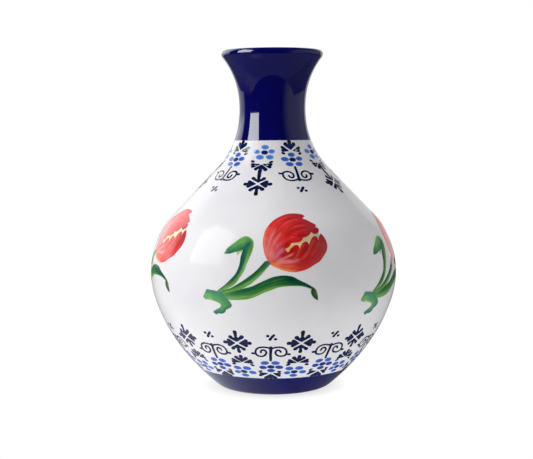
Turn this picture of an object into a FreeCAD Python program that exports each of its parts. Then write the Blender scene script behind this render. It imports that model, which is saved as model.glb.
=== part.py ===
import FreeCAD, Part
import math
import os
import Sketcher

# A bottle-shaped vase of glazed earthenware, thrown in sections that are luted together.
# Millimetres, +Z up, with the origin at the centre of the foot, on the surface it stands on.
#
# Every layer of the wall follows one outline: a chain of tangent stretches that starts at the edge
# of the foot, heading outwards, and ends at the lip. A stretch that turns to the left bulges out and
# one that turns to the right is hollow, so a layer that lies deeper in the wall has the same turns,
# with its bulging radii smaller and its hollow radii larger by its depth.

SIZES = {
    # where the chain starts
    "foot_radius": 40,
    # the chain: a radius in mm and a turn in degrees for each arc, or the length of a straight stretch
    "foot_bend_radius": 13.5,
    "foot_bend_turn": 40,
    "lower_side_radius": 190,
    "lower_side_turn": 11,
    "lower_belly_radius": 144,
    "lower_belly_turn": 20.5,
    "crest_radius": 70,
    "crest_turn": 37,
    "shoulder_bend_radius": 87,
    "shoulder_bend_turn": 13,
    "shoulder_knee_radius": 35,
    "shoulder_knee_turn": 12.5,
    "shoulder_length": 57.2,
    "neck_root_radius": 66,
    "neck_root_turn": 35,
    "neck_sweep_radius": 84,
    "neck_sweep_turn": 15.5,
    "flare_radius": 65,
    "flare_turn": 31.5,
    # the wall
    "wall_thickness": 7,
    "glaze_thickness": 0.5,
    "floor_top": 9.5,
    # the foot
    "ring_height": 3,
    "ring_inner_radius": 31,
    # heights where the thrown sections meet and where the glazes change
    "belly_seam": 96,
    "neck_seam": 186,
    "base_line": 18.5,
    "neck_line": 206,
    # a size beyond the whole vase, for the cutting bands
    "clear_radius": 130,
    "clear_height": 300,
}

LEFT = 1
STRAIGHT = 0
RIGHT = -1
STRETCHES = [
    ("foot_bend", LEFT),
    ("lower_side", LEFT),
    ("lower_belly", LEFT),
    ("crest", LEFT),
    ("shoulder_bend", LEFT),
    ("shoulder_knee", LEFT),
    ("shoulder", STRAIGHT),
    ("neck_root", RIGHT),
    ("neck_sweep", RIGHT),
    ("flare", RIGHT),
]

# Sketcher's own numbers for the ends of a piece of geometry and for the sketch axes
START = 1
END = 2
ORIGIN = (-1, 1)
ACROSS_AXIS = -1
UP_AXIS = -2
FULL_TURN = 360

doc = FreeCAD.newDocument("vase")


def make_sheet():
    sheet = doc.addObject("Spreadsheet::Sheet", "Sizes")
    for row, (alias, value) in enumerate(SIZES.items(), start=1):
        sheet.set(f"A{row}", alias)
        sheet.set(f"B{row}", str(value))
        sheet.setAlias(f"B{row}", alias)
    doc.recompute()
    return sheet


sizes = make_sheet()


def arc_along(point, heading, radius, turn):
    """The arc that leaves a point on a heading, and its far end. A positive turn is to the left."""
    side = math.copysign(1, turn)
    centre_x = point[0] - side * radius * math.sin(heading)
    centre_y = point[1] + side * radius * math.cos(heading)
    first = heading - side * math.pi / 2
    last = first + turn
    end = (centre_x + radius * math.cos(last), centre_y + radius * math.sin(last))
    circle = Part.Circle(FreeCAD.Vector(centre_x, centre_y, 0), FreeCAD.Vector(0, 0, 1), radius)
    return Part.ArcOfCircle(circle, min(first, last), max(first, last)), end


def line_between(first, last):
    return Part.LineSegment(FreeCAD.Vector(*first, 0), FreeCAD.Vector(*last, 0))


class Outline:
    """A closed half section in a sketch: out from the axis, up one layer of the wall, over to the axis."""

    def __init__(self, sketch, depth, depth_words, outside):
        self.sketch = sketch
        self.depth = depth
        self.depth_words = depth_words
        self.outside = outside

    def bind(self, name, kind, *args, value, words):
        number = self.sketch.addConstraint(Sketcher.Constraint(kind, *args, value))
        self.sketch.renameConstraint(number, name)
        self.sketch.setExpression(f"Constraints.{name}", words)

    def fix(self, kind, *args):
        self.sketch.addConstraint(Sketcher.Constraint(kind, *args))

    def add_bottom(self):
        self.point = (sizes.foot_radius, self.depth)
        self.heading = 0.0
        self.bottom = self.sketch.addGeometry(line_between((0, self.depth), self.point))
        self.last = (self.bottom, END)
        self.fix("Horizontal", self.bottom)
        self.fix("PointOnObject", self.bottom, START, UP_AXIS)
        ends = (*ORIGIN, *self.last)
        self.bind("foot_radius", "DistanceX", *ends, value=self.point[0], words="Sizes.foot_radius")
        if self.depth:
            self.bind("depth", "DistanceY", *ends, value=self.depth, words=self.depth_words)
        else:
            self.fix("PointOnObject", *self.last, ACROSS_AXIS)

    def add_arc(self, name, side, radius, radius_words, turn, turn_words=None):
        arc, end = arc_along(self.point, self.heading, radius, side * turn)
        number = self.sketch.addGeometry(arc)
        near, far = (START, END) if side == LEFT else (END, START)
        self.fix("Tangent", *self.last, number, near)
        self.bind(f"{name}_radius", "Radius", number, value=radius, words=radius_words)
        if turn_words:
            self.bind(f"{name}_turn", "Angle", number, value=turn, words=turn_words)
        self.point = end
        self.heading += side * turn
        self.last = (number, far)

    def add_straight(self, name):
        length = getattr(sizes, f"{name}_length")
        across = length * math.cos(self.heading)
        up = length * math.sin(self.heading)
        end = (self.point[0] + across, self.point[1] + up)
        number = self.sketch.addGeometry(line_between(self.point, end))
        self.fix("Tangent", *self.last, number, START)
        self.bind(f"{name}_length", "Distance", number, value=length, words=f"Sizes.{name}_length")
        self.point = end
        self.last = (number, END)

    def add_stretch(self, name, side):
        if side == STRAIGHT:
            self.add_straight(name)
            return
        radius = getattr(sizes, f"{name}_radius") - side * self.depth
        sign = "-" if side == LEFT else "+"
        radius_words = f"Sizes.{name}_radius {sign} ({self.depth_words})"
        turn = math.radians(getattr(sizes, f"{name}_turn"))
        self.add_arc(name, side, radius, radius_words, turn, f"Sizes.{name}_turn * 1 deg")

    def add_lip(self):
        """The lip is half a circle as thick as the wall, and its top is where the two sides meet."""
        half_wall = sizes.wall_thickness / 2
        if self.outside:
            words = f"Sizes.wall_thickness / 2 - ({self.depth_words})"
            self.add_arc("lip", LEFT, half_wall - self.depth, words, math.pi - self.heading)
        else:
            words = f"({self.depth_words}) - Sizes.wall_thickness / 2"
            self.add_arc("lip", RIGHT, self.depth - half_wall, words, self.heading)

    def add_top(self):
        axis_point = (0, self.point[1])
        top = self.sketch.addGeometry(line_between(self.point, axis_point))
        self.fix("Tangent", *self.last, top, START)
        self.fix("Horizontal", top)
        self.fix("PointOnObject", top, END, UP_AXIS)
        axis = self.sketch.addGeometry(line_between(axis_point, (0, self.depth)))
        self.fix("Coincident", top, END, axis, START)
        self.fix("Coincident", axis, END, self.bottom, START)


def add_form(name, depth, depth_words, outside):
    """The solid inside one layer of the wall, turned on the wheel's axis."""
    body = doc.addObject("PartDesign::Body", name)
    planes = {plane.Role: plane for plane in body.Origin.OriginFeatures}
    sketch = body.newObject("Sketcher::SketchObject", f"{name}_section")
    sketch.AttachmentSupport = [(planes["XZ_Plane"], "")]
    sketch.MapMode = "FlatFace"
    outline = Outline(sketch, depth, depth_words, outside)
    outline.add_bottom()
    for stretch, side in STRETCHES:
        outline.add_stretch(stretch, side)
    outline.add_lip()
    outline.add_top()
    revolution = body.newObject("PartDesign::Revolution", f"{name}_turned")
    revolution.Profile = sketch
    revolution.ReferenceAxis = (sketch, ["V_Axis"])
    revolution.Angle = FULL_TURN
    return body


def add_cylinder(name, radius_words, bottom_words, top_words):
    cylinder = doc.addObject("Part::Cylinder", name)
    cylinder.setExpression("Radius", radius_words)
    cylinder.setExpression("Height", f"({top_words}) - ({bottom_words})")
    cylinder.setExpression("Placement.Base.z", bottom_words)
    return cylinder


def slice_of(form, bottom_words, top_words):
    """The part of a solid between two heights."""
    band = add_cylinder(f"{form.Name}_band", "Sizes.clear_radius", bottom_words, top_words)
    part = doc.addObject("Part::Common", f"{form.Name}_slice")
    part.Base = form
    part.Tool = band
    return part


def cut(name, base, tool):
    result = doc.addObject("Part::Cut", name)
    result.Base = base
    result.Tool = tool
    return result


CLAY_BACK = "Sizes.wall_thickness - Sizes.glaze_thickness"
FLOOR = "Sizes.floor_top"
GLAZED_FLOOR = "Sizes.floor_top + Sizes.glaze_thickness"
RING = "Sizes.ring_height"
BELLY = "Sizes.belly_seam"
ROOT = "Sizes.neck_seam"
BASE_LINE = "Sizes.base_line"
NECK_LINE = "Sizes.neck_line"
ABOVE = "Sizes.clear_height"


glaze = sizes.glaze_thickness
wall = sizes.wall_thickness
outer_form = add_form("outer_form", 0, "0", outside=True)
clay_form = add_form("clay_form", glaze, "Sizes.glaze_thickness", outside=True)
clay_hollow = add_form("clay_hollow", wall - glaze, CLAY_BACK, outside=False)
inner_form = add_form("inner_form", wall, "Sizes.wall_thickness", outside=False)


def foot_ring():
    recess = add_cylinder("foot_recess", "Sizes.ring_inner_radius", "0", RING)
    return cut("foot_ring", slice_of(outer_form, "0", RING), recess)


def lower_bowl():
    return cut("lower_bowl", slice_of(clay_form, RING, BELLY), slice_of(clay_hollow, FLOOR, ABOVE))


def shoulder_section():
    return cut("shoulder_section", slice_of(clay_form, BELLY, ROOT), clay_hollow)


def neck_section():
    return cut("neck_section", slice_of(clay_form, ROOT, ABOVE), clay_hollow)


def base_glaze():
    return cut("base_glaze", slice_of(outer_form, RING, BASE_LINE), clay_form)


def body_glaze():
    return cut("body_glaze", slice_of(outer_form, BASE_LINE, NECK_LINE), clay_form)


def neck_glaze():
    coat = cut("neck_coat", slice_of(outer_form, NECK_LINE, ABOVE), clay_form)
    return cut("neck_glaze", coat, inner_form)


def liner_glaze():
    coated = slice_of(clay_hollow, FLOOR, ABOVE)
    return cut("liner_glaze", coated, slice_of(inner_form, GLAZED_FLOOR, ABOVE))


PIECES = [
    foot_ring,
    lower_bowl,
    shoulder_section,
    neck_section,
    base_glaze,
    body_glaze,
    neck_glaze,
    liner_glaze,
]

pieces = [make() for make in PIECES]
for piece in pieces:
    piece.Label = piece.Name
doc.recompute()

for item in doc.Objects:
    if "Invalid" in item.State or "Error" in item.State:
        raise RuntimeError(f"{item.Name} did not recompute: {item.State}")
for piece in pieces:
    if piece.Shape.isNull() or not piece.Shape.isValid():
        raise RuntimeError(f"{piece.Label} has no valid shape")

os.makedirs("parts", exist_ok=True)
for piece in pieces:
    piece.Shape.exportStep(f"parts/{piece.Label}.step")
    box = piece.Shape.BoundBox
    print(f"{piece.Label}: volume {piece.Shape.Volume:.0f} mm3, z {box.ZMin:.2f} to {box.ZMax:.2f},",
          f"radius {box.XMax:.2f}, solids {len(piece.Shape.Solids)}")
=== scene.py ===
import math

import bpy
import numpy as np
from mathutils import Matrix, Vector
from mathutils.geometry import delaunay_2d_cdt


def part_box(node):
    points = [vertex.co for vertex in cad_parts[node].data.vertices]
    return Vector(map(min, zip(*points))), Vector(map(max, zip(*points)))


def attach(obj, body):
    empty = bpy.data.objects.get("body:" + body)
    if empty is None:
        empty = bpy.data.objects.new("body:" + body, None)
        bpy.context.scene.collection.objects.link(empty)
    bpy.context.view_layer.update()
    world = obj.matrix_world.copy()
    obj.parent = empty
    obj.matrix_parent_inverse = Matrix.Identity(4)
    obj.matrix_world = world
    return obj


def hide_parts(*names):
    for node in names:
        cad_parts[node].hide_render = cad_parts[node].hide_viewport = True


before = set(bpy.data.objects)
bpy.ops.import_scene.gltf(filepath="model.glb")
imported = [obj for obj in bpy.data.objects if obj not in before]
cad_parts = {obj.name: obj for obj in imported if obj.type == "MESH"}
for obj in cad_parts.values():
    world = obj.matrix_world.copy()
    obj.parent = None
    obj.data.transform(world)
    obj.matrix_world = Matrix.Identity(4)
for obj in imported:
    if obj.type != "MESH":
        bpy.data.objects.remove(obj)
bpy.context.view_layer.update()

# The vase stands at the origin with +Z up, and -Y faces the viewer. An azimuth is counted from
# that front line towards +X. The painting is measured in millimetres along the surface of the pot,
# to the right and up from the point that a motif hangs on. Everything that is built is in metres.
MM = 0.001
BODY = "root"
COLUMNS = 288  # round the pot
GLAZE = 0.5  # thickness of a coat
COBALT_LIFT = 0.06  # how far the cobalt stands off the white glaze
FILM = 0.06  # how far a film of enamel stands off the glaze
BLOOM_FILM = 0.1  # the same for the petals of a tulip, over its heart
BALL_FILM = 0.13  # the same for the round end of a petal, over the others
HEART_FILM = 0.085  # the same for a border flower's heart, over its petals
COAT = 0.02  # how much further each later stroke of a tulip stands off


def srgb(code):
    """A screen colour, six hex digits of red, green and blue, as the linear colour that materials use."""
    part = np.array(list(bytes.fromhex(code))) / 255
    return np.where(part <= 0.04045, part / 12.92, ((part + 0.055) / 1.055) ** 2.4)


# ---- outline of the pot


def gaps_of(points):
    """How far each point is from the next."""
    return np.linalg.norm(np.diff(points, axis=0), axis=1)


def smooth(points, step):
    """A smooth curve through points, as points about a step apart. It leaves each point along the
    line that joins its neighbours, so straight runs stay straight and even arcs stay round."""
    points = np.asarray(points, float)
    gaps = np.diff(points, axis=0)
    lengths = np.linalg.norm(gaps, axis=1)
    tangents = np.vstack([gaps[:1], gaps[:-1] + gaps[1:], gaps[-1:]])
    tangents /= np.linalg.norm(tangents, axis=1)[:, None]
    fine = []
    for i, length in enumerate(lengths):
        t = np.linspace(0, 1, max(1, math.ceil(length / step)) + 1)[:-1, None]
        fine.append(
            (2 * t**3 - 3 * t**2 + 1) * points[i]
            + (t**3 - 2 * t**2 + t) * length * tangents[i]
            + (3 * t**2 - 2 * t**3) * points[i + 1]
            + (t**3 - t**2) * length * tangents[i + 1]
        )
    fine.append(points[-1:])
    return np.vstack(fine)


class Outline:
    """One side of the wall as a curve of radius and height in millimetres, by the distance along it."""

    STEP = 0.125
    CLOSEST_RINGS = 0.2
    LONGEST_GAP = 2.2
    WIDEST_BEND = math.radians(2)

    def __init__(self, rings):
        kept = []
        for height, radius in sorted(rings):
            if not kept or math.dist((radius, height), kept[-1]) > self.CLOSEST_RINGS:
                kept.append((radius, height))
        self.points = smooth(kept, self.STEP)
        self.along = np.concatenate([[0], np.cumsum(gaps_of(self.points))])
        self.length = self.along[-1]
        run = np.gradient(self.points, self.along, axis=0)
        self.normals = np.stack([run[:, 1], -run[:, 0]], axis=1)
        self.normals /= np.linalg.norm(self.normals, axis=1)[:, None]

    def at(self, distance, lift=0.0):
        """Radius and height at a distance along the curve, lifted off the wall by lift."""
        columns = [self.points[:, 0], self.points[:, 1], self.normals[:, 0], self.normals[:, 1]]
        radius, height, out, up = (np.interp(distance, self.along, column) for column in columns)
        return radius + lift * out, height + lift * up

    def at_height(self, height):
        return float(np.interp(height, self.points[:, 1], self.along))

    def stops(self, start, end):
        """Distances from start to end, close where the wall bends and further apart elsewhere."""
        angles = np.arctan2(self.normals[:, 1], self.normals[:, 0])
        stops = [start]
        for distance in np.arange(start, end, self.STEP):
            bend = abs(np.interp(distance, self.along, angles) - np.interp(stops[-1], self.along, angles))
            if distance - stops[-1] >= self.LONGEST_GAP or bend >= self.WIDEST_BEND:
                stops.append(distance)
        if end - stops[-1] < self.STEP:
            stops.pop()
        return np.array(stops + [end])


def rings_of(names, side, above=-1.0):
    """Height and radius of the vertices on the faces whose middle is above a height and that face
    out (side 1) or in (side -1)."""
    rings = set()
    for name in names:
        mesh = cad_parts[name].data
        for face in mesh.polygons:
            centre = face.center
            facing = (face.normal.x * centre.x + face.normal.y * centre.y) / math.hypot(centre.x, centre.y)
            if facing * side < 0.01 or centre.z / MM < above:
                continue
            for number in face.vertices:
                point = mesh.vertices[number].co
                rings.add((round(point.z / MM, 4), math.hypot(point.x, point.y) / MM))
    return rings


LINER_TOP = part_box("liner_glaze")[1].z / MM
BASE_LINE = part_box("base_glaze")[1].z / MM
NECK_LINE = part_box("body_glaze")[1].z / MM
outside = Outline(rings_of(["foot_ring", "base_glaze", "body_glaze", "neck_glaze"], 1))
inside = Outline(rings_of(["liner_glaze"], -1) | rings_of(["neck_glaze"], -1, LINER_TOP))


# ---- materials


class Nodes:
    """The nodes of a material or of the world."""

    def __init__(self, tree):
        self.nodes, self.links = tree.nodes, tree.links

    def fill(self, socket, value):
        """Set an input to a value, or link it where the value is another node's output."""
        if isinstance(value, bpy.types.NodeSocket):
            self.links.new(value, socket)
        else:
            socket.default_value = value

    def add(self, kind, **inputs):
        """A node with its inputs filled by name."""
        node = self.nodes.new(kind)
        for name, value in inputs.items():
            self.fill(node.inputs[name.replace("_", " ")], value)
        return node

    def work_out(self, operation, first, second, kind="ShaderNodeMath"):
        node = self.nodes.new(kind)
        node.operation = operation
        self.fill(node.inputs[0], first)
        self.fill(node.inputs[1], second)
        return node.outputs

    def spread(self, value, low, high, start=0.3, end=0.7, kind="LINEAR"):
        """A value between start and end as a number from low to high."""
        limits = {"From_Min": start, "From_Max": end, "To_Min": low, "To_Max": high}
        node = self.add("ShaderNodeMapRange", Value=value, **limits)
        node.interpolation_type = kind
        return node.outputs["Result"]


class Finish(Nodes):
    """A node material that starts as one Principled shader."""

    def __init__(self, name, roughness, **sockets):
        self.material = bpy.data.materials.new(name)
        self.material.use_nodes = True
        super().__init__(self.material.node_tree)
        self.shader = self.nodes["Principled BSDF"]
        for socket, value in {"Roughness": roughness, **sockets}.items():
            self.shader.inputs[socket.replace("_", " ")].default_value = value

    def place(self):
        """The point on the surface, in metres in the vase's own frame."""
        return self.add("ShaderNodeTexCoord").outputs["Object"]

    def distance(self, point):
        """How far the surface is from a point, in metres."""
        return self.work_out("DISTANCE", self.place(), point, "ShaderNodeVectorMath")["Value"]

    def painted(self, name):
        node = self.add("ShaderNodeAttribute")
        node.attribute_name = name
        return node.outputs

    def noise(self, vector, scale, detail, stretch=(1, 1, 1)):
        stretched = self.work_out("MULTIPLY", vector, stretch, "ShaderNodeVectorMath")["Vector"]
        return self.add("ShaderNodeTexNoise", Vector=stretched, Scale=scale, Detail=detail).outputs["Fac"]

    def mix(self, share, first, second):
        """A blend of two colours."""
        node = self.nodes.new("ShaderNodeMix")
        node.data_type = "RGBA"
        self.links.new(share, node.inputs["Factor"])
        node.inputs[6].default_value = (*first, 1)
        node.inputs[7].default_value = (*second, 1)
        return node.outputs[2]

    def shade(self, colour, value):
        """A colour made lighter or darker by a factor."""
        return self.add("ShaderNodeHueSaturation", Color=colour, Value=value).outputs["Color"]

    def colour(self, socket):
        self.links.new(socket, self.shader.inputs["Base Color"])

    def made(self, colour, roughness, height, strength, depth):
        """The material, with its colour and roughness and with bumps of a height noise."""
        self.colour(colour)
        self.links.new(roughness, self.shader.inputs["Roughness"])
        bump = self.add("ShaderNodeBump", Height=height, Strength=strength, Distance=depth)
        self.links.new(bump.outputs["Normal"], self.shader.inputs["Normal"])
        return self.material

    def surface(self, socket):
        self.links.new(socket, self.nodes["Material Output"].inputs["Surface"])


def white_glaze(name, low, high):
    """Milky tin-white glaze, thicker in clouds and faintly uneven."""
    finish = Finish(name, 0.03, Specular_IOR_Level=0.11)
    place = finish.place()
    cloud = finish.noise(place, 28, 3)
    milk = finish.mix(finish.spread(cloud, 0, 1), low, high)
    ripple = finish.noise(place, 110, 2)
    return finish.made(milk, finish.spread(cloud, 0.02, 0.04), ripple, 0.12, 0.0001)


def cobalt_glaze():
    """Deep cobalt that pools darker in clouds. The paint of its mesh thins it by its edge."""
    finish = Finish("cobalt_glaze", 0.05, IOR=1.6)
    place = finish.place()
    pool = finish.noise(place, 40, 3, (1, 1, 0.45))
    cobalt = finish.shade(finish.painted("paint")["Color"], finish.spread(pool, 0.8, 1.2))
    ripple = finish.noise(place, 90, 2)
    return finish.made(cobalt, finish.spread(pool, 0.035, 0.07), ripple, 0.12, 0.0001)


def enamel(name, streaks, roughness):
    """Hand-painted enamel: the painter's colour, with the hairs of the brush along each stroke."""
    finish = Finish(name, roughness)
    hair = finish.noise(finish.painted("brush")["Vector"], 1, 3, (0.06, 0.9, 1))
    wash = finish.noise(finish.place(), 160, 2)
    haired = finish.shade(finish.painted("paint")["Color"], finish.spread(hair, 1 - streaks, 1 + streaks))
    colour = finish.shade(haired, finish.spread(wash, 0.94, 1.06))
    uneven = finish.spread(hair, roughness * 0.8, roughness * 1.3)
    return finish.made(colour, uneven, hair, 0.3, 0.00006)


def clay(name, body, speck, roughness):
    """Fired clay: grainy, speckled and matt."""
    finish = Finish(name, roughness)
    place = finish.place()
    grain = finish.noise(place, 900, 4)
    cloud = finish.noise(place, 60, 3)
    speckled = finish.mix(finish.spread(grain, 0, 1, 0.5, 0.75), body, speck)
    uneven = finish.spread(cloud, roughness - 0.08, roughness + 0.05)
    return finish.made(speckled, uneven, grain, 0.6, 0.0002)


WHITE = white_glaze("white_glaze", srgb("e9e8ec"), srgb("f0eff2"))
LINER = white_glaze("liner_glaze", srgb("dedde0"), srgb("e8e7e9"))
COBALT = cobalt_glaze()
RED = enamel("red_enamel", 0.2, 0.1)
GREEN = enamel("green_enamel", 0.24, 0.1)
BLUE = enamel("blue_enamel", 0.08, 0.08)
NAVY = enamel("navy_enamel", 0.12, 0.08)
CLAY = clay("clay", srgb("cdbca8"), srgb("b29c84"), 0.85)
BARE_CLAY = clay("bare_clay", srgb("d6c8b6"), srgb("b6a088"), 0.9)


# ---- mesh building


def edge_numbers(ends, count):
    """One number per edge, whichever way round its two ends are given."""
    ends = np.sort(ends, axis=1)
    return ends[:, 0] * count + ends[:, 1]


def link(name, data):
    """A new object in the scene."""
    made = bpy.data.objects.new(name, data)
    bpy.context.scene.collection.objects.link(made)
    return made


def make_object(name, points, faces, material, paint=None, brush=None, sharp=None):
    """A closed mesh in the vase's frame, from points in millimetres. paint is a colour per point,
    brush is a place along and across the stroke per point, and sharp numbers the creased edges."""
    mesh = bpy.data.meshes.new(name)
    mesh.from_pydata((np.asarray(points) * MM).tolist(), [], faces)
    mesh.materials.append(material)
    mesh.shade_smooth()

    def store(name, kind, domain, field, values):
        mesh.attributes.new(name, kind, domain).data.foreach_set(field, values.ravel())

    if paint is not None:
        colours = np.ones((len(points), 4), np.float32)
        colours[:, :3] = paint
        store("paint", "FLOAT_COLOR", "POINT", "color", colours)
    if brush is not None:
        vectors = np.zeros((len(points), 3), np.float32)
        vectors[:, :2] = brush
        store("brush", "FLOAT_VECTOR", "POINT", "vector", vectors)
    if sharp is not None:
        ends = np.zeros(len(mesh.edges) * 2, np.int64)
        mesh.edges.foreach_get("vertices", ends)
        on_rim = np.isin(edge_numbers(ends.reshape(-1, 2), len(points)), sharp)
        store("sharp_edge", "BOOLEAN", "EDGE", "value", on_rim)
    made = link(name, mesh)
    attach(made, BODY)
    return made


def turn_shell(name, section, material, colours=None):
    """The closed shell that a closed section of radius and height makes when it turns round Z."""
    section = np.asarray(section)
    rings = len(section)
    azimuths = np.arange(COLUMNS) * 2 * math.pi / COLUMNS
    sine, cosine = np.sin(azimuths)[:, None], np.cos(azimuths)[:, None]
    radius, height = section[None, :, 0], section[None, :, 1]
    points = np.stack([radius * sine, -radius * cosine, np.broadcast_to(height, (COLUMNS, rings))], 2)
    faces = []
    for column in range(COLUMNS):
        here, there = column * rings, (column + 1) % COLUMNS * rings
        for ring in range(rings):
            above = (ring + 1) % rings
            faces.append((here + ring, there + ring, there + above, here + above))
    paint = None if colours is None else np.tile(colours, (COLUMNS, 1))
    return make_object(name, points.reshape(-1, 3), faces, material, paint)


def signed_area(outline):
    x, y = outline.T
    return 0.5 * (x * np.roll(y, -1) - y * np.roll(x, -1)).sum()


def within(points, outline):
    """Which points lie within a closed outline."""
    ends = np.roll(outline, -1, axis=0)
    x, y = points[:, 0, None], points[:, 1, None]
    spans = (outline[:, 1] > y) != (ends[:, 1] > y)
    rise = np.where(ends[:, 1] == outline[:, 1], 1, ends[:, 1] - outline[:, 1])
    meets = outline[:, 0] + (y - outline[:, 1]) / rise * (ends[:, 0] - outline[:, 0])
    return (spans & (x < meets)).sum(axis=1) % 2 == 1


def beside(points, line):
    """For each point, its distance from a line and how far along the line it is, from 0 to 1."""
    starts, runs = line[:-1], np.diff(line, axis=0)
    lengths = np.linalg.norm(runs, axis=1)
    to_point = points[:, None, :] - starts
    share = np.clip((to_point * runs).sum(axis=2) / lengths**2, 0, 1)
    gaps = np.linalg.norm(to_point - share[..., None] * runs, axis=2)
    best = gaps.argmin(axis=1)
    rows = np.arange(len(points))
    passed = np.concatenate([[0], np.cumsum(lengths)])
    along = (passed[best] + share[rows, best] * lengths[best]) / passed[-1]
    return gaps[rows, best], along


class Flat:
    """Closed outlines in millimetres, joined into one flat sheet of triangles spacing apart."""

    TOUCHING = 1e-4

    def __init__(self, outlines, spacing):
        outlines = [line if signed_area(line) > 0 else line[::-1] for line in outlines]
        border = np.vstack(outlines)
        low, high = border.min(axis=0), border.max(axis=0)
        rows = np.arange(low[1], high[1], spacing * math.sqrt(3) / 2)
        grid = []
        for i, y in enumerate(rows):
            grid += [(x, y) for x in np.arange(low[0] + (i % 2) * spacing / 2, high[0], spacing)]
        grid = np.array(grid).reshape(-1, 2)
        inner = np.zeros(len(grid), bool)
        for line in outlines:
            closed = np.vstack([line, line[:1]])
            inner |= within(grid, line)
            inner &= beside(grid, closed)[0] > 0.4 * spacing
        corners = [Vector(point) for point in np.vstack([border, grid[inner]])]
        faces, first = [], 0
        for line in outlines:
            faces.append(list(range(first, first + len(line))))
            first += len(line)
        joined = delaunay_2d_cdt(corners, [], faces, 0, self.TOUCHING, True)
        points, _, triangles, _, _, owners = joined
        triangles = np.array([triangle for triangle, owner in zip(triangles, owners) if owner])
        used, compact = np.unique(triangles, return_inverse=True)
        self.points = np.array([points[i] for i in used])
        self.triangles = compact.reshape(triangles.shape)
        sides = np.vstack([self.triangles[:, [i, (i + 1) % 3]] for i in range(3)])
        known = set(map(tuple, sides.tolist()))
        self.rim = np.array([side for side in known if side[::-1] not in known])


class Place:
    """Where a motif hangs: an azimuth in degrees, and a distance along the wall from the foot."""

    def __init__(self, azimuth, distance, turned=False):
        self.azimuth = math.radians(azimuth)
        self.distance = distance
        self.sign = -1 if turned else 1

    def wrap(self, flat, lift):
        """The points of a flat sheet laid on the pot, lifted off the glaze by lift."""
        distance = self.distance + self.sign * flat[:, 1]
        azimuth = self.azimuth + self.sign * flat[:, 0] / outside.at(distance)[0]
        radius, height = outside.at(distance, lift)
        return np.stack([radius * np.sin(azimuth), -radius * np.cos(azimuth), height], axis=1)


class Painting:
    """Thin closed films of enamel as one piece, with their backs sunk in the glaze."""

    SINK = 0.05

    def __init__(self):
        self.points, self.faces, self.paint, self.brush, self.rims = [], [], [], [], []
        self.count = 0

    def add(self, flat, place, lift, paint, brush=None):
        size = len(flat.points)
        brush = flat.points if brush is None else brush
        self.points += [place.wrap(flat.points, lift), place.wrap(flat.points, -self.SINK)]
        self.paint += [paint, paint]
        self.brush += [brush, brush]
        top = flat.triangles + self.count
        rim = flat.rim + self.count
        self.faces += top.tolist() + (top[:, ::-1] + size).tolist()
        walls = np.hstack([rim[:, ::-1], rim + size])
        self.faces += walls.tolist()
        self.rims += [rim, rim + size]
        self.count += 2 * size

    def finish(self, name, material, slot):
        sharp = edge_numbers(np.vstack(self.rims), self.count)
        paint, brush = np.vstack(self.paint), np.vstack(self.brush)
        return make_object(name, np.vstack(self.points), self.faces, material, paint, brush, sharp)


# ---- brush shapes, in millimetres


def arc(centre, radius, start, end, count):
    angles = np.linspace(start, end, count)
    return np.asarray(centre) + radius * np.stack([np.cos(angles), np.sin(angles)], axis=1)


def dab(start, end, narrow, wide):
    """A short press of the brush, narrow at its start and round at its end."""
    start, end = np.asarray(start, float), np.asarray(end, float)
    run = end - start
    length = np.linalg.norm(run)
    tip = end - run / length * wide / 2
    lean = math.asin(min(0.95, (wide - narrow) / 2 / max(length - wide / 2, wide / 4)))
    facing = math.atan2(run[1], run[0])
    side = math.pi / 2 + lean
    round_tip = arc(tip, wide / 2, facing - side, facing + side, 11)
    return np.vstack([round_tip, arc(start, narrow / 2, facing + side, facing + 2 * math.pi - side, 5)])


def oval(centre, width, height, tilt=0.0):
    angles = np.arange(20) * math.pi / 10
    ring = np.stack([width / 2 * np.cos(angles), height / 2 * np.sin(angles)], axis=1)
    lean = math.radians(tilt)
    turn = np.array([[math.cos(lean), math.sin(lean)], [-math.sin(lean), math.cos(lean)]])
    return np.asarray(centre) + ring @ turn


def line_of(points, start, end):
    """A brush line through points whose width goes from start to end, with round ends."""
    spine = smooth(points, 0.8)
    run = np.gradient(spine, axis=0)
    run /= np.linalg.norm(run, axis=1)[:, None]
    side = np.stack([-run[:, 1], run[:, 0]], axis=1)
    half = np.linspace(start, end, len(spine))[:, None] / 2
    first, last = math.atan2(-run[0, 1], -run[0, 0]), math.atan2(run[-1, 1], run[-1, 0])
    quarter = math.pi / 2
    far_end = arc(spine[-1], end / 2, last - quarter, last + quarter, 6)
    near_end = arc(spine[0], start / 2, first - quarter, first + quarter, 6)
    right, left = (spine - side * half)[1:-1], (spine + side * half)[1:-1]
    return np.vstack([right, far_end, left[::-1], near_end])


def fan(apex, ends, wide, filled=0.5):
    """A quarter of a leaf cross: dabs that spread from one point, filled in near it."""
    apex, ends = np.asarray(apex, float), np.asarray(ends, float)
    middle = np.vstack([[apex], apex + (ends - apex) * filled])
    return [dab(apex, end, 1.1, wide) for end in ends] + [middle]


def sprig(apex, *ends):
    """Narrow dabs that spread from one point."""
    return [dab(apex, end, 1.1, 2.7) for end in ends]


def edge(*runs):
    """One side of a brush shape: smooth runs of points that meet at corners. Each run after the
    first starts where the run before it ended."""
    line, corner = [], []
    for run in runs:
        line.append(smooth(corner + run, 0.7)[:-1])
        corner = run[-1:]
    return np.vstack(line + [corner])


def ring_of(first, second):
    """A closed outline between two edges that start together and end together."""
    outline = np.vstack([first, second[::-1]])
    gaps = np.linalg.norm(outline - np.roll(outline, 1, axis=0), axis=1)
    return outline[gaps > 0.05]


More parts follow.
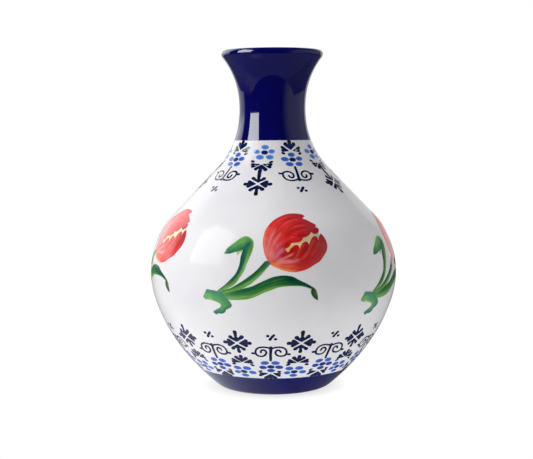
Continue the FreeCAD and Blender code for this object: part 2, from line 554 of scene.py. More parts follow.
class Blade:
    """A broad stroke between two edges, with each point's place across and along it."""

    def __init__(self, first, second, spacing=0.9):
        self.flat = Flat([ring_of(first, second)], spacing)
        points = self.flat.points
        to_first, along_first = beside(points, first)
        to_second, along_second = beside(points, second)
        self.across = to_first / np.maximum(to_first + to_second, 1e-6)
        self.along = along_first * (1 - self.across) + along_second * self.across
        length = 0.5 * (gaps_of(first).sum() + gaps_of(second).sum())
        width = np.median(to_first + to_second)
        self.brush = np.stack([self.along * length, self.across * width], axis=1)

    def graded(self, *rows):
        """Colours from rows of how far along, with those of the first edge, middle and second edge."""
        stops = [along for along, _ in rows]
        lanes = []
        for codes in zip(*(colours.split() for _, colours in rows)):
            lane = np.array([srgb(code) for code in codes])
            lanes.append(np.stack([np.interp(self.along, stops, c) for c in lane.T], axis=1))
        near = np.clip(1 - self.across * 2, 0, 1)[:, None]
        far = np.clip(self.across * 2 - 1, 0, 1)[:, None]
        return lanes[0] * near + lanes[2] * far + lanes[1] * (1 - near - far)


def washed(points, dabs):
    """Colours that blend between dabs of (right, up, colour)."""
    softness = 4.0
    spots = np.array([(x, y) for x, y, _ in dabs])
    colours = np.array([srgb(colour) for _, _, colour in dabs])
    gaps = ((points[:, None, :] - spots) ** 2).sum(axis=2)
    weights = 1 / (gaps + softness) ** 2
    return weights @ colours / weights.sum(axis=1)[:, None]


def streaked(points, paint, streaks):
    """Paint with soft streaks of other colours, each a row of (path, colour, width, strength)."""
    for path, colour, width, strength in streaks:
        gap, along = beside(points, smooth(path, 0.8))
        fade = np.clip(1.15 - np.abs(along * 2 - 1) ** 3, 0, 1)
        share = strength * fade * np.exp(-((gap / width) ** 2))
        paint = paint + share[:, None] * (srgb(colour) - paint)
    return paint


def leaf(first, second, rows, streaks=(), thinned=(0, 0)):
    """A leaf between two edges, with graded paint and streaks. thinned says how pale the paint is
    along each edge, where the brush left it thin."""
    blade = Blade(first, second)
    paint = streaked(blade.flat.points, blade.graded(*rows), streaks)
    rims = (blade.across < 0.04, blade.across > 0.96)
    share = np.select(rims, thinned, 0.0)[:, None]
    return blade, paint + share * (srgb("8aba54") - paint)


# ---- glaze over the clay


DEEP_COBALT = srgb("040458")


def cobalt_paint(distances, line, fringe):
    """Cobalt that thins to a paler blue, its fringe, where it ends on the white glaze."""
    near = np.clip(1 - (np.abs(distances - line) - 0.15) / 0.5, 0, 1)[:, None]
    return DEEP_COBALT * (1 - near) + srgb(fringe) * near


def near_line(distances, line):
    """Distances with closer stops by the edge of a band, where the glaze thins out."""
    extra = line + np.sign(distances.mean() - line) * np.array([0, 0.12, 0.3, 0.65, 1.1])
    kept = distances[np.abs(distances - line) > 1.3]
    return np.sort(np.concatenate([kept, extra]))


def thinning(distances, line):
    """How far the cobalt stands off the white glaze, down to nothing at its edge."""
    return COBALT_LIFT * np.clip(np.abs(distances - line) / 0.25, 0, 1)


def body_skin():
    """The white glaze, which runs a little way under both cobalt bands."""
    under = 2.0
    stops = outside.stops(outside.at_height(BASE_LINE) - under, outside.at_height(NECK_LINE) + under)
    outer = np.stack(outside.at(stops), axis=1)
    inner = np.stack(outside.at(stops, -GLAZE), axis=1)
    skin = turn_shell("white_glaze_skin", np.vstack([outer, inner[::-1]]), WHITE)
    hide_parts("body_glaze")


def base_skin():
    """The cobalt band round the base, thinner where it comes down over the foot ring."""
    line, low = outside.at_height(BASE_LINE), outside.at_height(0.35)
    stops = near_line(outside.stops(low, line), line)
    outer = np.stack(outside.at(stops, thinning(stops, line)), axis=1)
    depth = np.minimum(GLAZE, 0.04 + (stops - low) * 0.06)
    inner = np.stack(outside.at(stops, -depth), axis=1)
    paint = cobalt_paint(stops, line, "5c8cd6")
    section = np.vstack([outer, inner[::-1]])
    skin = turn_shell("base_cobalt_skin", section, COBALT, np.vstack([paint, paint[::-1]]))
    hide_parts("base_glaze")


def neck_skin():
    """The cobalt of the neck, up over the round lip and down inside it to the liner."""
    line = outside.at_height(NECK_LINE)
    stops = near_line(outside.stops(line, outside.length), line)
    outer = np.stack(outside.at(stops, thinning(stops, line)), axis=1)
    behind = np.stack(outside.at(stops, -GLAZE), axis=1)
    down = inside.stops(inside.at_height(LINER_TOP), inside.length)[::-1]
    hollow = np.stack(inside.at(down, -COBALT_LIFT), axis=1)
    hidden = np.stack(inside.at(down, GLAZE), axis=1)
    section = np.vstack([outer, hollow[1:], hidden[::-1][:-1], behind[::-1]])
    paint = cobalt_paint(stops, line, "283c96")
    plain = np.tile(DEEP_COBALT, (len(section) - 2 * len(stops), 1))
    colours = np.vstack([paint, plain, paint[::-1]])
    skin = turn_shell("neck_cobalt_skin", section, COBALT, colours)
    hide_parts("neck_glaze")


def finish_clay():
    """Materials for the CAD pieces that stay as they are."""
    finishes = {
        "foot_ring": BARE_CLAY, "lower_bowl": CLAY, "shoulder_section": CLAY, "neck_section": CLAY,
        "liner_glaze": LINER,
    }
    for name, material in finishes.items():
        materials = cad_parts[name].data.materials
        materials.clear()
        materials.append(material)


# ---- borders of leaves and flowers

# The two columns that take turns round each border. Right and up are from the middle of the column
# at the edge of the cobalt band, and the upper border is the lower one turned upside down. Each row
# is one sheet of outlines. A flower's petals are (right, up, width, height, tilt), its heart last.
LEAF_CROSS = [
    fan((-0.5, 20.2), [(-5.4, 26.2), (0, 27.8), (4.9, 25.4)], 3.4, 0.62),
    sprig((1.5, 19.5), (8.2, 22.4), (8.8, 19.6)),
    sprig((-2, 19.5), (-8.7, 23), (-9.3, 19.8)),
    [oval((7.4, 16.6), 3.7, 2.3, -20), oval((-7.7, 17.2), 3.7, 2.3, 15)],
    fan((-0.5, 41.7), [(-6.3, 46.8), (-0.5, 52.2), (5.8, 47.4)], 3.4),
    fan((1.5, 40), [(8.6, 43.2), (11.6, 40.4), (8.1, 37.3)], 3.2),
    fan((-2.5, 40), [(-8.5, 43.1), (-12.2, 40.4), (-8.6, 37.3)], 3.2),
    fan((-0.5, 38.2), [(-5.9, 33.4), (-0.2, 29.8), (5.3, 33.1)], 3.2),
]
TURNED_CROSS = LEAF_CROSS + [[line_of([(0, 26), (-0.1, 29), (-0.2, 33)], 3.2, 2.8)]]
CROSS_FLOWER = [
    (-6, 12.5, 6.6, 4.6, -12), (2, 12.5, 7, 4.7, -6), (-7, 7.2, 5.4, 4.2, -6), (5.6, 7.4, 6.4, 4.2, -8),
    (-1.4, 3.4, 6.4, 4.2, -8),
    (-1.4, 8.1, 5.8, 4.1, -8),
]
LEFT_CURL = line_of(
    [(0.5, 35.5), (-4, 36.6), (-8, 36.4), (-10.7, 34.6), (-11.6, 31.4), (-10.8, 28.6), (-8, 27.1),
     (-5, 27.7), (-3.2, 30.4), (-3.7, 32.8), (-5.6, 33.9), (-7.2, 32.9), (-7.3, 31.2)], 1.6, 1.7
)
RIGHT_CURL = line_of(
    [(0.9, 35.3), (5, 36.6), (9, 36.4), (11.7, 34.6), (12.6, 31.4), (11.8, 28.6), (9, 27.3),
     (6, 27.7), (4.1, 29.8), (4.2, 32.3), (5.6, 33.6), (7.3, 33.2), (8, 31.6)], 1.6, 1.7
)
SCROLL = [
    fan((-0.5, 5.4), [(-5.2, -0.4), (-0.5, -3), (4.2, -0.6)], 3.6, 0.66),
    sprig((-3, 6.6), (-9.3, 6.9), (-9.8, 3.6)),
    sprig((2, 6.6), (7.8, 6.3), (7.4, 2.8)),
    [oval((-8.4, 9.4), 3.5, 2.2, 25), oval((6.4, 8.9), 3.5, 2.2, -15)],
    [line_of([(0, 22.5), (0.1, 29), (0.6, 36.5)], 2.1, 2.4)],
    [oval((0.5, 35.6), 3.2, 4.2)],
    [LEFT_CURL],
    [RIGHT_CURL],
    [line_of([(-11.2, 29.8), (-14, 30.2)], 1.8, 2.2), line_of([(12.1, 29.4), (14.8, 29)], 1.8, 2.2)],
    [oval((-1.7, 47.6), 2.7, 2.4), oval((4.3, 44.6), 2.6, 2.3)],
    [line_of([(0, 44.3), (1.4, 46.4), (3, 48.2)], 2.2, 2.2), oval((0.1, 44.3), 2.6, 2.2)],
]
SCROLL_FLOWER = [
    (-4.6, 19.5, 6.8, 4.5, 6), (3.7, 19.5, 6.8, 4.5, -6), (-6.2, 14.2, 6.2, 4.2, -8),
    (6.5, 14.5, 6.6, 4.4, -6), (0, 10.4, 6.4, 4.2, 0),
    (0, 15, 6, 4.2, 0),
]


def leaf_paint(points):
    """Almost black blue, a little thinner and bluer in places."""
    dark, thin = srgb("0b1036"), srgb("1c2a62")
    x, y = points.T
    cloud = 0.5 + 0.25 * np.sin(x * 0.9 + y * 0.35) + 0.25 * np.sin(y * 1.1)
    return dark + np.clip(cloud, 0, 1)[:, None] ** 2 * (thin - dark)


def petal_paint(points, petal, middle, rim):
    """A wash of blue that lies thicker in the middle of the petal than at its rim."""
    x, y, width, height, _ = petal
    reach = np.hypot((points[:, 0] - x) / width, (points[:, 1] - y) / height) * 2
    share = np.clip(reach, 0, 1)[:, None] ** 3
    return middle * (1 - share) + rim * share


def border_column(name, place, leaves, flower, blues):
    """One column of a border: its dark leaves as one piece and its flower as another."""
    dark, blue = Painting(), Painting()
    for outlines in leaves:
        sheet = Flat(outlines, 1.1)
        dark.add(sheet, place, FILM, leaf_paint(sheet.points))
    dark.finish(name + "_leaves", NAVY, "navy_enamel")
    lifts = [FILM] * len(blues) + [HEART_FILM]
    for petal, lift, shades in zip(flower, lifts, (*blues, HEART_BLUE)):
        sheet = Flat([oval(petal[:2], *petal[2:])], 0.9)
        blue.add(sheet, place, lift, petal_paint(sheet.points, petal, *shades))
    blue.finish(name + "_flower", BLUE, "blue_enamel")


# The middle and the rim of a petal.
LIGHT_BLUE = (srgb("4676d4"), srgb("86aeec"))
MID_BLUE = (srgb("345ec0"), srgb("648cdc"))
DEEP_BLUE = (srgb("263ca6"), srgb("4662c4"))
HEART_BLUE = (srgb("141c54"), srgb("344c98"))
LIGHT_FLOWER, MID_FLOWER = [LIGHT_BLUE] * 5, [MID_BLUE] * 5
DEEP_FLOWER = [MID_BLUE] * 2 + [DEEP_BLUE] * 3


def border(name, count, distance, turned, azimuths, flowers):
    """A border of count pairs of columns. azimuths place its first leaf cross and its first scroll,
    and flowers are the blues of each."""
    cross = TURNED_CROSS if turned else LEAF_CROSS
    motifs = [("cross", cross, CROSS_FLOWER), ("scroll", SCROLL, SCROLL_FLOWER)]
    for i in range(count):
        for (motif, leaves, flower), azimuth, blues in zip(motifs, azimuths, flowers):
            place = Place(azimuth + i * 360 / count, distance, turned)
            border_column(f"{name}_{motif}_{i + 1}", place, leaves, flower, blues)


# ---- tulips

# Right and up are from the foot of the bloom. Each edge of a leaf runs from the root to the tip.
# Each tulip has an azimuth, a distance along the wall and a tint that brightens its paint. The tint is
# partly a difference between the painted tulips, and for the bright tulip on the left it is painted light,
# where more light falls on that side.
TULIPS = [(0, 140, 1), (74.5, 135, 1.05), (143.5, 141, 0.97), (216, 138, 1.12), (287, 141.5, 1.45)]
BRIGHTEST = 0.9  # the most light that enamel gives back


def hook_leaf():
    left = edge(
        [(-44.5, -23.5), (-38.5, -19), (-33.5, -14.5), (-29, -9.5), (-26, -2.5), (-25, 3.5), (-23.5, 7.5),
         (-20.5, 13), (-18, 17.5)]
    )
    right = edge(
        [(-37, -22.5), (-29.5, -17.5), (-26, -13), (-22.5, -7.5), (-20.5, -2.5), (-18, 3), (-16, 8),
         (-15, 12.5), (-15.3, 16), (-17, 18.2)]
    )
    rows = [
        (0, "468755 78af64 96c373"), (0.3, "10524c 46804c 6ca852"), (0.6, "08424e 286c48 70b050"),
        (0.85, "0a4854 3a7c48 7ab854"), (1, "286e50 509650 78b654"),
    ]
    streaks = [
        ([(-36, -19), (-28, -11), (-23, -1), (-21, 8)], "0e4a4e", 0.9, 0.5),
        ([(-30, -17), (-24, -8), (-20, 3), (-18, 11)], "96c868", 0.7, 0.4),
    ]
    return leaf(left, right, rows, streaks, (0.1, 0.45))


def fold():
    """The end of the hooked leaf, which turns over and points down to the left."""
    upper = edge(
        [(-15.8, 15), (-16.3, 17.2), (-18.5, 19.1), (-21.5, 19.7), (-25, 18.2), (-29, 15.2), (-33, 12),
         (-36, 9.6), (-38.7, 5.3)]
    )
    lower = edge(
        [(-15.8, 15), (-16.8, 14.5), (-19, 11.8), (-21.5, 9.2), (-25.5, 8), (-30.5, 6.5), (-34.5, 5.3),
         (-38.7, 5.3)]
    )
    rows = [
        (0, "6eb054 468c54 145860"), (0.3, "6eb256 5ca054 165a60"), (0.6, "68ac58 4c9256 1e7054"),
        (0.85, "3c8c5c 207052 1c7058"), (1, "287c5c 1e6e56 247860"),
    ]
    streaks = [
        ([(-16.5, 15), (-19, 13.2), (-22, 10.6), (-26, 9)], "0a4a60", 0.8, 0.6),
        ([(-20, 17), (-27, 13.6), (-33, 10)], "86c260", 0.9, 0.35),
    ]
    return leaf(upper, lower, rows, streaks, (0.45, 0.1))


def sliver():
    """A glimpse of the leaf's other side under the fold."""
    upper = edge([(-21, 9.2), (-24.5, 8.4), (-28.6, 8)])
    lower = edge([(-21, 9.2), (-22.8, 6.6), (-25.6, 6.4), (-27.4, 4.6), (-28.6, 8)])
    return leaf(upper, lower, [(0, "96be6e a5c878 b2ce84")])


def stem():
    upper = edge(
        [(-43, -23.5), (-38, -22.5), (-32.5, -20.5), (-28, -17.8), (-23.5, -15), (-18.5, -11.5), (-14, -8),
         (-10, -4), (-6.4, 0)],
        [(-4.4, 0.4), (-2.8, -0.6)],
    )
    lower = edge(
        [(-38, -25), (-30.5, -23), (-24, -21), (-18, -17.8), (-14, -14.5), (-10, -11), (-6.5, -7),
         (-3.2, -3.4), (-1.6, -1.6)]
    )
    rows = [
        (0, "3c8046 629e4e 82b45a"), (0.3, "226842 569648 70aa4c"), (0.6, "125646 3c8044 66a448"),
        (0.85, "0a423e 2c6e3e 609e42"), (1, "5c6a96 3c6864 78ac46"),
    ]
    streaks = [
        ([(-34, -21.3), (-22, -15.8), (-12, -8.4), (-6, -2.4)], "08463e", 1, 0.5),
        ([(-28, -21.4), (-16, -14.4), (-6, -5.4)], "8abe5c", 0.7, 0.4),
    ]
    return leaf(upper, lower, rows, streaks, (0.15, 0.5))


def long_leaf():
    upper = edge(
        [(-44.5, -23.5), (-36, -23.3), (-29.5, -22), (-23.5, -21), (-16.5, -19), (-11, -16.5), (-5.5, -14),
         (-0.5, -12), (5, -11), (10, -11), (15, -12), (18.5, -14), (22.5, -16), (26.5, -18), (30, -20.3)]
    )
    lower = edge(
        [(-43, -28.5), (-34.5, -30), (-27.5, -30), (-19.5, -29), (-12.5, -26.5), (-7.5, -24), (-2, -22),
         (3.5, -20), (8.5, -19.2), (14, -19), (19.5, -19.2), (24, -20), (28.5, -21.6), (30.4, -21.6)]
    )
    rows = [
        (0, "50966e 69a56e 84b868"), (0.2, "2a6c3e 3c8042 80b660"), (0.4, "0e5034 2e743a 70ac4e"),
        (0.6, "125236 2c7034 549642"), (0.75, "063e2e 08442e 387a3e"), (0.9, "04362c 063e30 14583e"),
        (1, "06342e 083c32 0e4838"),
    ]
    streaks = [
        ([(-34, -25.4), (-22, -23), (-10, -18.6), (2, -14.6), (12, -14)], "085446", 1, 0.55),
        ([(-20, -26.4), (-8, -21.8), (4, -17.4), (16, -17)], "0c4c2c", 0.8, 0.5),
        ([(-30, -28), (-16, -26.4), (-4, -21), (6, -18.4)], "86bc56", 0.6, 0.5),
        ([(-14, -20.4), (-2, -15.6), (8, -13)], "569250", 0.5, 0.4),
        ([(14, -14), (22, -17.6), (28, -20)], "166054", 0.7, 0.5),
    ]
    return leaf(upper, lower, rows, streaks, (0.3, 0.6))


def leaf_tip():
    left = edge([(30.2, -20.2), (28.9, -22.5), (28.9, -25), (29.6, -27), (32, -29.6), (34.2, -30.8)])
    right = edge([(30.2, -20.2), (32.5, -22.3), (33.6, -25), (34.2, -28), (34.2, -30.8)])
    rows = [(0, "083a30 124830 465c30"), (0.5, "0a3e32 3c6036 68703a"), (1, "104a32 185436 346038")]
    return leaf(left, right, rows)


def root():
    upper = edge([(-53.6, -22.6), (-50.5, -23), (-46.5, -23.5), (-42, -25), (-38, -27)])
    lower = edge(
        [(-53.6, -22.6), (-55.6, -26), (-57.2, -29)],
        [(-55, -30.6), (-50, -31), (-45.5, -32), (-41, -33), (-37, -31.5), (-38, -27)],
    )
    blade = Blade(upper, lower)
    dabs = [
        (-52.5, -24, "4a9278"), (-47, -25, "468e76"), (-54, -28, "76b270"), (-50, -29.5, "8ac06a"),
        (-44, -30, "78b46c"), (-41, -27, "549874"),
    ]
    return blade, washed(blade.flat.points, dabs)


def branch():
    """The short shoot that curls down from the root."""
    outer = edge(
        [(-46.5, -23.8), (-42, -25), (-38, -28), (-35, -30.5), (-33, -33), (-32.4, -34.6), (-33.5, -36.2),
         (-35.5, -37.4), (-37.2, -38.2)],
        [(-38, -40.2), (-40.5, -41.7), (-43.5, -41.7), (-45.8, -42.9)],
    )
    inner = edge(
        [(-51, -29), (-45.5, -32), (-42.2, -33.6), (-41.5, -35.2), (-42.5, -36.7), (-45, -38.3),
         (-47.6, -40), (-48.3, -40.9)],
        [(-47.2, -41.6), (-45.8, -42.9)],
    )
    rows = [
        (0, "468c74 569c76 78b270"), (0.3, "468c6e 60a266 74b06a"), (0.6, "387a52 60a062 68a868"),
        (0.8, "3a786c 428276 4a8a7a"), (1, "3a7a7a 3a7a7c 3e7e7e"),
    ]
    return leaf(outer, inner, rows)


BLOOM_BASE = (-3.6, -1)


def petal(first, second, dabs, streaks):
    """Petals between two edges, with washed paint and streaks."""
    blade = Blade(first, second, 0.7)
    points = blade.flat.points
    return blade, streaked(points, washed(points, dabs), streaks)


def upper_petals():
    """The petals behind the opening, from the foot of the bloom up and over to their tips."""
    outer = edge(
        [BLOOM_BASE, (-5, 1.5), (-6.5, 5), (-7.5, 9.5), (-8, 14.5), (-7.5, 19), (-6, 25), (-2.5, 31),
         (1.5, 35.5), (6, 38.5), (10.5, 40.5), (16, 41), (21, 40.2), (23.8, 39), (24.6, 37.6)],
        [(23.6, 36.8), (22.5, 36)],
        [(25.5, 34.5), (29, 32.2), (31.8, 30.3), (33.7, 29)],
        [(33.4, 27.6), (32, 26.3)],
    )
    inner = edge(
        [BLOOM_BASE, (2.4, 0.8), (6.6, 4.6), (9.2, 7.6)],
        [(9.2, 9.6)],
        [(11, 10.4), (12.6, 11.8), (13.8, 14)],
        [(17, 14.2), (20, 14.6), (22, 16), (23, 18.2)],
        [(25.5, 18.6), (28, 20.4), (29.5, 22.4), (30.6, 25), (32, 26.3)],
    )
    dabs = [
        (-6.8, 8, "f2765c"), (-7, 16, "f06856"), (-5, 24, "ea4a40"), (-3.2, 6, "ec6c5c"),
        (-1.5, 14, "e85046"), (1, 22, "e43432"), (0, 31, "e22e32"), (7, 37, "d42a30"), (14, 39, "ca2e34"),
        (21, 38.5, "bc2e36"), (8, 29, "e6302e"), (16, 31, "ce242c"), (24, 31, "ba2a34"),
        (30, 28.5, "b2323a"), (6, 17, "e6302c"), (14, 21, "d62226"), (21, 22, "c21e28"), (28, 24, "b42c36"),
        (3, 9, "d83a3e"), (9, 12.5, "c61820"),
    ]
    streaks = [
        ([(-5.6, 5.6), (-6.9, 12.7), (-6, 21.7), (-3.2, 28.9)], "f69278", 0.9, 0.6),
        ([(-4.1, 2.5), (-3.7, 11.9), (-1.3, 19.2), (1.7, 26.1)], "e88c92", 1.2, 0.85),
        ([(-2.6, 2.5), (-1, 9.9), (2.1, 16.7), (5.9, 22.5)], "ea868e", 1.25, 0.85),
        ([(-1.1, 1.7), (1.2, 7.5), (4.3, 12.2), (8.1, 15.4)], "e6828e", 1.1, 0.8),
        ([(0.5, 1.7), (2.7, 4.8), (5.8, 7.9), (8.6, 10.2)], "d0748c", 1.6, 0.8),
        ([(-3.4, 6), (-2.4, 14), (0.6, 21), (4, 27)], "f03c34", 0.7, 0.6),
        ([(-1.8, 6), (0.6, 13), (4, 19), (9, 24)], "ec342e", 0.7, 0.6),
        ([(0.4, 5), (3, 10), (6.6, 13.6), (11, 16)], "d61e24", 0.7, 0.65),
        ([(5.8, 11.8), (10.4, 15.8), (15.1, 18.2), (20.5, 18.6)], "ee4e2e", 0.8, 0.6),
        ([(8.9, 14.2), (14.3, 19.8), (20.6, 23.9), (27, 24.8)], "e63e36", 0.9, 0.5),
        ([(5, 18), (10, 24), (17, 28), (26, 29)], "f04c3e", 0.8, 0.5),
        ([(2, 20), (6, 28), (12, 33), (20, 35)], "f24e42", 0.9, 0.5),
        ([(-3, 20), (0, 29), (6, 35), (13, 38)], "f05448", 0.8, 0.4),
        ([(7.4, 18), (12.9, 22.8), (18.4, 25.6), (25, 27)], "b01622", 0.7, 0.55),
        ([(7.4, 21), (12.9, 26.6), (18.4, 30.5), (26, 31)], "ac1a26", 0.7, 0.6),
        ([(2.1, 23.4), (8.3, 32.7), (15.4, 36.6), (21.9, 36.8)], "b21e2a", 0.7, 0.55),
        ([(8, 12), (12, 16), (18, 18.5), (24, 20.5)], "a80e1a", 0.8, 0.5),
    ]
    return petal(outer, inner, dabs, streaks)


def lower_petals():
    """The petals in front of the opening, with their scalloped tips."""
    upper = edge(
        [BLOOM_BASE, (2, 2), (6, 5.6), (9, 9)],
        [(11.2, 6.8), (13, 9.4), (15.4, 11.6), (17.5, 12.5), (19.3, 11.6), (20.1, 9.2)],
        [(21.1, 11.7), (22.8, 14), (25, 15), (26.8, 13.8), (27.6, 12.3)],
        [(28.8, 15.4), (30.4, 18.1), (32.4, 19.2), (34.2, 18.2), (35.4, 15.8)],
        [(35.9, 18.8), (37.5, 21.3)],
    )
    lower = edge(
        [BLOOM_BASE, (-1.8, -2.8), (1, -4.5), (5.5, -6.5), (11, -8), (16.5, -8.6), (20, -8.1),
         (26, -6.5), (31.5, -3.5), (36, -1), (39, 2.5), (41.7, 6.5), (42.6, 10.5), (41.7, 15), (39.7, 18.5),
         (37.5, 21.3)],
    )
    dabs = [
        (2, 1, "d64e54"), (8, 5, "c4222a"), (14, 8, "ba161e"), (20, 5, "bc1c24"), (25, 11, "b21e26"),
        (24, 2, "ca242a"), (31, 14, "aa242c"), (31, 5, "be282e"), (38, 16, "a23036"), (40, 9, "a83638"),
        (35, 2, "ba3032"), (2, -3.6, "f48046"), (9, -6.6, "f0623c"), (16, -7.4, "e24234"),
        (24, -5.6, "ce3032"), (8, -2, "e04642"), (16, -1, "d03034"),
    ]
    streaks = [
        ([(0.5, 1.5), (2.7, 4.6), (5.8, 7.3), (8.4, 9.4)], "ce728a", 1.4, 0.75),
        ([(2.7, 0.3), (8, 2), (12.6, 4.2), (15.6, 5.6)], "e88a86", 0.9, 0.85),
        ([(1.2, -1.2), (8.8, -0.6), (15.6, -0.3), (20, 1.2)], "ea8c8e", 1.25, 0.85),
        ([(2.7, -2.9), (9.5, -4.1), (17.1, -3.9)], "f0785c", 0.8, 0.6),
        ([(-1.6, -2.6), (4, -5.2), (11, -7.2), (18, -7.6)], "faaa5c", 0.7, 0.75),
        ([(7, 3.6), (11.1, 5.8), (14.6, 8.9)], "a60e18", 1, 0.6),
        ([(8, 0.9), (16, 4.6), (20.1, 9.4)], "a0101a", 0.7, 0.65),
        ([(13, 0.5), (22, 4.6), (27.6, 12.6)], "98121e", 0.7, 0.65),
        ([(20, -2), (29, 3.5), (34, 10), (35.4, 16)], "961a24", 0.7, 0.6),
        ([(14.8, -0.8), (18.4, 4.5), (20.6, 9.8), (24.4, 13.6)], "e85430", 0.9, 0.6),
        ([(21, -0.2), (25.8, 5.8), (29.1, 12), (32, 17.4)], "d6503e", 1.1, 0.6),
        ([(28.1, 1.8), (33.1, 8.7), (36.6, 16.6)], "c44c48", 0.9, 0.45),
        ([(26, -4.6), (34, -0.6), (40, 7), (39.8, 14)], "ce504e", 0.8, 0.4),
    ]
    return petal(upper, lower, dabs, streaks)


def petal_ball():
    """The rounded end of the inmost petal, beside the opening."""
    sheet = Flat([oval((32.8, 23.8), 6.3, 5.9, 20)], 0.7)
    return sheet, washed(sheet.points, [(32, 26, "ac2c36"), (34, 22, "9e202a")])


def opening():
    """The pale heart of the flower, seen between the petals."""
    outline = edge(
        [(7.5, 9.2), (12, 13), (16, 17), (22, 20.2), (28, 23.6), (31.5, 27)],
        [(35, 22.6), (36.3, 20), (36.2, 16)],
        [(31, 13), (27, 10), (20, 7), (13, 5), (9.5, 6.4), (7.5, 9.2)],
    )
    sheet = Flat([outline[:-1]], 0.9)
    dabs = [
        (9.5, 8.6, "e6ba68"), (14, 12.6, "ecc882"), (20, 13, "e8ce96"), (28, 17.5, "dac89e"),
        (35, 19.6, "cec0a0"),
    ]
    return sheet, washed(sheet.points, dabs)


def tulip(number, place, tint_and_painted_light, leaves, petals):
    """One tulip, as a piece of leaves and a bloom. A greater tint brightens its paint, partly as a
    difference between tulips and partly as painted light.
    """

    # Painted light: the tint brightens the enamel's colour, most on the tulip on the left, for the stronger
    # light on that side.
    def thin(paint):
        return np.minimum(paint * tint_and_painted_light, BRIGHTEST)

    green, red = Painting(), Painting()
    for level, (blade, paint) in enumerate(leaves):
        green.add(blade.flat, place, FILM + COAT * level, thin(paint), blade.brush)
    green.finish(f"tulip_{number}_leaves", GREEN, "green_enamel")
    (heart, heart_paint), (ball, ball_paint), *blades = petals
    red.add(heart, place, FILM, thin(heart_paint))
    for level, (blade, paint) in enumerate(blades):
        red.add(blade.flat, place, BLOOM_FILM + COAT * level, thin(paint), blade.brush)
    red.add(ball, place, BALL_FILM, thin(ball_paint))
    red.finish(f"tulip_{number}_bloom", RED, "red_enamel")


def tulips():
    leaves = [sliver(), long_leaf(), hook_leaf(), fold(), stem(), leaf_tip(), root(), branch()]
    petals = [opening(), petal_ball(), upper_petals(), lower_petals()]
    for number, (azimuth, distance, tint_and_painted_light) in enumerate(TULIPS, 1):
        tulip(number, Place(azimuth, distance), tint_and_painted_light, leaves, petals)


# ---- floor, light and camera


def stage_sheet(name, points, finish, in_view):
    """A flat piece of the studio, either in view or only in the mirror image in the glaze."""
    mesh = bpy.data.meshes.new(name)
    mesh.from_pydata(points, [], [list(range(len(points)))])
    mesh.materials.append(finish.material)
    sheet = link(name, mesh)
    sheet.visible_camera = in_view
    sheet.visible_diffuse = in_view
    sheet.visible_shadow = in_view
    sheet.visible_glossy = not in_view


def add_floor():
    """A round pale table that glows all white from a little way round the foot of the vase."""
    radius, sides, all_white = 0.42, 96, 0.062
    angles = np.arange(sides) * 2 * math.pi / sides
    points = [(radius * math.cos(a), radius * math.sin(a), 0) for a in angles]
    finish = Finish("floor", 0.8, Base_Color=(0.9, 0.9, 0.9, 1))
    share = finish.spread(finish.distance((0, 0, 0)), 0, 1, 0, all_white)
    glow = finish.add("ShaderNodeEmission", Color=(1, 1, 1, 1), Strength=1.0)
    blend = finish.nodes.new("ShaderNodeMixShader")
    for socket, source in zip(blend.inputs, (share, finish.shader.outputs[0], glow.outputs[0])):
        finish.links.new(source, socket)
    finish.surface(blend.outputs[0])
    stage_sheet("floor", points, finish, True)


def add_table_reflection():
    """What the glaze mirrors of the table: its edge in front, and a top whose colour is painted light and
    shade, pale on the left of the foot where the window lights it, and dark elsewhere for the shade round
    the foot."""
    side, front, back, drop = 1.5, -0.33, 1.5, -0.0005
    points = [(-side, front, drop), (side, front, drop), (side, back, drop), (-side, back, drop)]
    finish = Finish("table_reflection", 0.9)
    # Painted light and shade: a pale lit patch left of the foot that fades to dark painted shade round the
    # rest of it.
    share = finish.spread(finish.distance((-0.1, -0.02, 0)), 0, 1, 0.04, 0.12)
    finish.colour(finish.mix(share, (0.8, 0.8, 0.84), (0.15, 0.15, 0.16)))
    stage_sheet("table_reflection", points, finish, False)


def add_pane():
    """What the glaze mirrors of the window on the left: one bright pane, taller on its far side. Its
    corners are sideways and up from its centre."""
    centre, sideways = np.array([-0.70, -0.31, 0.66]), np.array([0.686, -0.728, 0])
    corners = [(-0.233, -0.362), (0.245, -0.368), (0.253, 0.216), (-0.62, 1.12)]
    points = [centre + sideways * right + np.array([0, 0, up]) for right, up in corners]
    finish = Finish("window_pane", 0.5)
    finish.surface(finish.add("ShaderNodeEmission", Color=(1, 1, 1, 1), Strength=8.4).outputs[0])
    stage_sheet("window_pane", points, finish, False)


def add_light(name, centre, target, width, height, brightness):
    """A soft rectangular light, left out of the mirror image in the glaze. brightness is how
    bright its face looks, where 1 is white."""
    light = bpy.data.lights.new(name, "AREA")
    light.shape = "RECTANGLE"
    light.size = width
    light.size_y = height
    light.energy = brightness * width * height * math.pi
    lamp = link(name, light)
    lamp.location = centre
    aim = Vector(target) - Vector(centre)
    lamp.rotation_euler = aim.to_track_quat("-Z", "Y").to_euler()
    lamp.visible_camera = False
    lamp.visible_glossy = False


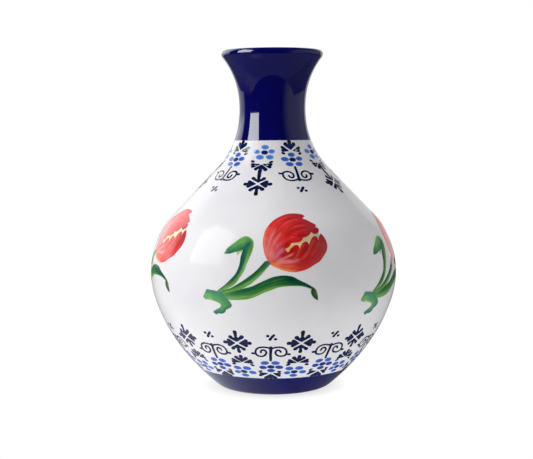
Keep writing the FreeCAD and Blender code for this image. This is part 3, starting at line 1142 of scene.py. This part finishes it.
def add_world():
    """A white studio to look at, which lights the vase from behind and a little from the right. Its
    edges are sharp where the glaze mirrors it, and it is brightest there high on the left."""
    world = bpy.data.worlds.new("studio")
    bpy.context.scene.world = world
    world.use_nodes = True
    sky = Nodes(world.node_tree)
    direction = sky.add("ShaderNodeTexCoord").outputs["Generated"]
    axes = sky.add("ShaderNodeSeparateXYZ", Vector=direction).outputs

    def ramp(value, start, end, low=0, high=1):
        return sky.spread(value, low, high, start, end, "SMOOTHSTEP")

    def combine(operation, first, second):
        return sky.work_out(operation, first, second)[0]

    x, y, z = axes["X"], axes["Y"], axes["Z"]
    behind = ramp(combine("ADD", y, combine("MULTIPLY", x, -0.25)), 0.57, 0.68)
    high_left = combine("MULTIPLY", ramp(x, -0.5, -0.25, 1, 0), ramp(z, 0, 0.18))
    level = ramp(high_left, 0, 1, 0.75, 1.9)
    sharp = combine("MAXIMUM", combine("MULTIPLY", behind, level), ramp(x, 0.5, 0.9, 0.02, 0.36))
    soft = combine("MAXIMUM", combine("MULTIPLY", behind, 0.75), ramp(x, 0.5, 0.9, 0.05, 0.42))
    rays = sky.add("ShaderNodeLightPath").outputs
    mirrored = combine("MULTIPLY", combine("SUBTRACT", sharp, soft), rays["Is Glossy Ray"])
    strength = combine("MAXIMUM", combine("ADD", soft, mirrored), rays["Is Camera Ray"])
    background = sky.nodes["Background"].inputs
    sky.fill(background["Strength"], strength)
    sky.fill(background["Color"], (1, 1, 1, 1))


def add_camera():
    """A long lens in front of the vase, about level with its neck line and tipped down."""
    camera = bpy.data.cameras.new("camera")
    camera.lens = 78.03
    camera.sensor_width = 36
    eye = link("camera", camera)
    pitch, yaw, roll = math.radians(90 - 5.122), math.radians(0.335), math.radians(-0.375)
    tilt = Matrix.Rotation(yaw, 4, "Z") @ Matrix.Rotation(pitch, 4, "X") @ Matrix.Rotation(roll, 4, "Z")
    eye.matrix_world = Matrix.Translation((0, -0.966, 0.2177)) @ tilt
    bpy.context.scene.camera = eye


finish_clay()
body_skin()
base_skin()
neck_skin()
low, high = outside.at_height(BASE_LINE), outside.at_height(NECK_LINE) - 2.5
border("lower_border", 11, low, False, (14.2, -1.9), (MID_FLOWER, DEEP_FLOWER))
border("upper_border", 5, high, True, (-12.6, 23.3), (LIGHT_FLOWER, MID_FLOWER))
tulips()
add_floor()
add_table_reflection()
add_pane()
add_light("window_light", (-0.76, -0.42, 0.46), (0, 0, 0.14), 0.5, 0.7, 5.75)
add_light("overhead", (-0.1, 0, 1.6), (0, 0, 0.15), 1.2, 1.2, 2.4)
add_light("fill", (1.3, -1.3, 0.7), (0, 0, 0.12), 1.0, 1.0, 1.6)
add_world()
add_camera()
bpy.context.scene.view_settings.view_transform = "Standard"
